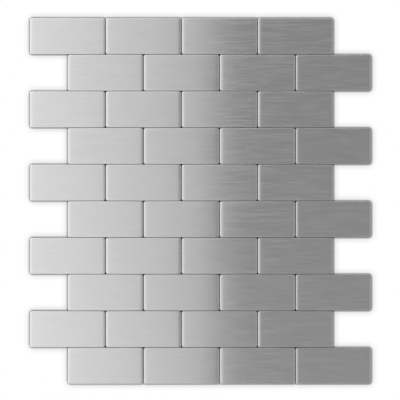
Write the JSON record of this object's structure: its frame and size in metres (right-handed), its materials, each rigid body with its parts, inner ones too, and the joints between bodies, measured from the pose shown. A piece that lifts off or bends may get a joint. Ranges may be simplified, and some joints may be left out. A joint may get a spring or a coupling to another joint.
{
  "type": "peel and stick backsplash tile",
  "caption": "Flat mosaic sheet of brushed metal subway chips in running bond, with stepped interlocking ends and a peel-off adhesive back, for covering a wall behind a counter.",
  "frame": {"origin": "centre of the sheet's outline, on the underside of the release liner", "axes": "+Z out of the metal face, +Y up the wall across the rows, +X to the right along the rows as seen from the face"},
  "size_m": [0.2854, 0.3058, 0.005],
  "materials": {
    "brushed_metal": "stainless, fine straight brushing along each chip's length, satin gloss",
    "adhesive": "thin dark grey foam adhesive, matt",
    "liner": "smooth off-white release paper, slight sheen"
  },
  "bodies": {
    "root": {"chip_row1_col1": "brushed_metal", "chip_row1_col2": "brushed_metal", "chip_row1_col3": "brushed_metal", "chip_row1_col4": "brushed_metal", "chip_row2_col1": "brushed_metal", "chip_row2_col2": "brushed_metal", "chip_row2_col3": "brushed_metal", "chip_row2_col4": "brushed_metal", "chip_row3_col1": "brushed_metal", "chip_row3_col2": "brushed_metal", "chip_row3_col3": "brushed_metal", "chip_row3_col4": "brushed_metal", "chip_row4_col1": "brushed_metal", "chip_row4_col2": "brushed_metal", "chip_row4_col3": "brushed_metal", "chip_row4_col4": "brushed_metal", "chip_row5_col1": "brushed_metal", "chip_row5_col2": "brushed_metal", "chip_row5_col3": "brushed_metal", "chip_row5_col4": "brushed_metal", "chip_row6_col1": "brushed_metal", "chip_row6_col2": "brushed_metal", "chip_row6_col3": "brushed_metal", "chip_row6_col4": "brushed_metal", "chip_row7_col1": "brushed_metal", "chip_row7_col2": "brushed_metal", "chip_row7_col3": "brushed_metal", "chip_row7_col4": "brushed_metal", "chip_row8_col1": "brushed_metal", "chip_row8_col2": "brushed_metal", "chip_row8_col3": "brushed_metal", "chip_row8_col4": "brushed_metal", "chip_row9_col1": "brushed_metal", "chip_row9_col2": "brushed_metal", "chip_row9_col3": "brushed_metal", "chip_row9_col4": "brushed_metal", "chip_row10_col1": "brushed_metal", "chip_row10_col2": "brushed_metal", "chip_row10_col3": "brushed_metal", "chip_row10_col4": "brushed_metal", "adhesive_sheet": "adhesive", "release_liner": "liner"}
  },
  "joints": []
}
